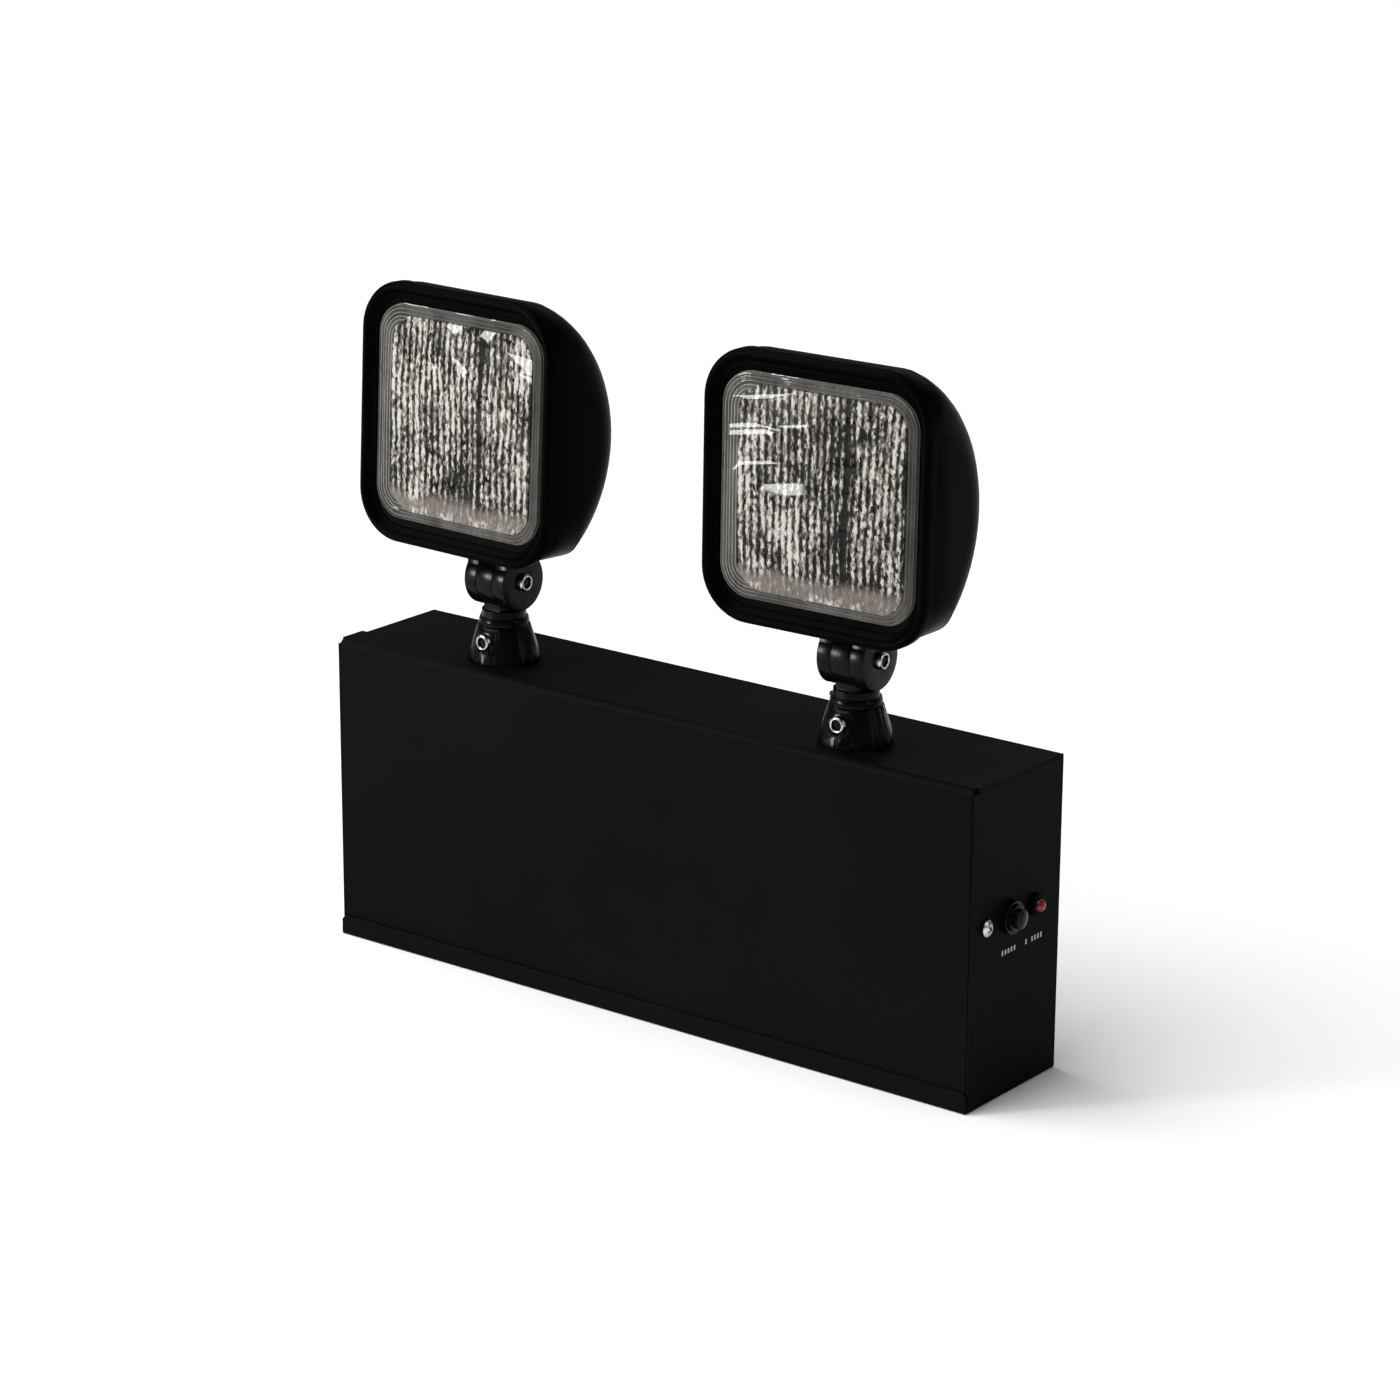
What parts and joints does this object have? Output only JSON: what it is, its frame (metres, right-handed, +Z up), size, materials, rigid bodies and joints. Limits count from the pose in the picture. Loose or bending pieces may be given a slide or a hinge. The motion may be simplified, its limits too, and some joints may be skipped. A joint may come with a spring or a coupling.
{
  "type": "two-head emergency light",
  "caption": "Wall-mounted battery emergency light: black steel cabinet with two square swivelling lamp heads, test button and pilot lamp.",
  "frame": {"origin": "centre of the cabinet's flat underside", "axes": "+Z up, -Y out of the front cover, +X towards the end with the test button"},
  "size_m": [0.3788, 0.0829, 0.3303],
  "materials": {
    "black_sheet_steel": "satin powder coat",
    "bright_screws": "bright nickel",
    "gloss_black_casting": "gloss",
    "satin_black_plastic": "satin",
    "clear_lens": "clear, ribbed",
    "red_lens": "translucent gloss",
    "silvered_reflector": "vacuum metallised",
    "rubber_gasket": "matte",
    "black_nylon": "satin",
    "lamp_holder": "matte",
    "bulb_glass": "clear",
    "gloss_black_plastic": "gloss",
    "battery_plastic": "satin",
    "tinned_brass": "bright",
    "zinc_plate": "zinc plated",
    "green_laminate": "satin",
    "bare_aluminium": "extruded",
    "core_steel": "varnished laminations",
    "coil_wrap": "tape",
    "red_insulation": "satin",
    "white_insulation": "satin",
    "blue_insulation": "satin"
  },
  "bodies": {
    "cabinet": {"back_panel": "black_sheet_steel", "bottom_tray": "black_sheet_steel", "top_panel": "black_sheet_steel", "left_end_plate": "black_sheet_steel", "right_end_plate": "black_sheet_steel", "front_cover": "black_sheet_steel", "cover_screws": "bright_screws", "cover_nuts": "zinc_plate", "battery_case": "battery_plastic", "battery_terminals": "tinned_brass", "battery_strap": "zinc_plate", "strap_screws": "bright_screws", "charger_board": "green_laminate", "board_standoffs": "zinc_plate", "board_screws": "bright_screws", "board_parts": "gloss_black_plastic", "heat_sink": "bare_aluminium", "transformer_core": "core_steel", "transformer_coil": "coil_wrap", "transformer_bracket": "zinc_plate", "bracket_screws": "bright_screws", "switch_body": "gloss_black_plastic", "switch_nut": "gloss_black_plastic", "pilot_bezel": "satin_black_plastic", "pilot_lens": "red_lens", "neck_lock_nuts": "zinc_plate", "neck_lock_washers": "zinc_plate", "battery_leads": "red_insulation", "lamp_leads": "white_insulation", "switch_leads": "blue_insulation", "left_swivel_base": "gloss_black_casting", "left_base_screw": "bright_screws", "left_pan_washer": "black_nylon", "right_swivel_base": "gloss_black_casting", "right_base_screw": "bright_screws", "right_pan_washer": "black_nylon"},
    "left_neck": {"left_stem": "gloss_black_casting"},
    "left_head": {"left_head_lug": "gloss_black_casting", "left_tilt_screw": "bright_screws", "left_tilt_nut": "zinc_plate", "left_shell": "satin_black_plastic", "left_bezel": "satin_black_plastic", "left_gasket": "rubber_gasket", "left_lens": "clear_lens", "left_reflector": "silvered_reflector", "left_socket": "lamp_holder", "left_bulb": "bulb_glass"},
    "right_neck": {"right_stem": "gloss_black_casting"},
    "right_head": {"right_head_lug": "gloss_black_casting", "right_tilt_screw": "bright_screws", "right_tilt_nut": "zinc_plate", "right_shell": "satin_black_plastic", "right_bezel": "satin_black_plastic", "right_gasket": "rubber_gasket", "right_lens": "clear_lens", "right_reflector": "silvered_reflector", "right_socket": "lamp_holder", "right_bulb": "bulb_glass"},
    "button": {"test_button": "gloss_black_plastic"}
  },
  "joints": [
    {"name": "left_pan", "type": "hinge", "parent": "cabinet", "child": "left_neck", "pos_m": [-0.102, -0.0085, 0.1488], "axis": [0, 0, 1], "range_deg": [-162.5, 167.5]},
    {"name": "left_tilt", "type": "hinge", "parent": "left_neck", "child": "left_head", "pos_m": [-0.102, -0.0085, 0.189], "axis": [0.999, -0.0436, 0], "range_deg": [-42, 63]},
    {"name": "right_pan", "type": "hinge", "parent": "cabinet", "child": "right_neck", "pos_m": [0.102, -0.0085, 0.1488], "axis": [0, 0, 1], "range_deg": [-166.5, 163.5]},
    {"name": "right_tilt", "type": "hinge", "parent": "right_neck", "child": "right_head", "pos_m": [0.102, -0.0085, 0.189], "axis": [0.9997, 0.0262, 0], "range_deg": [-44, 61]},
    {"name": "test_press", "type": "slide", "parent": "cabinet", "child": "button", "axis": [-1, 0, 0], "range_m": [0, 0.0025], "stiffness_N_per_m": 400}
  ]
}
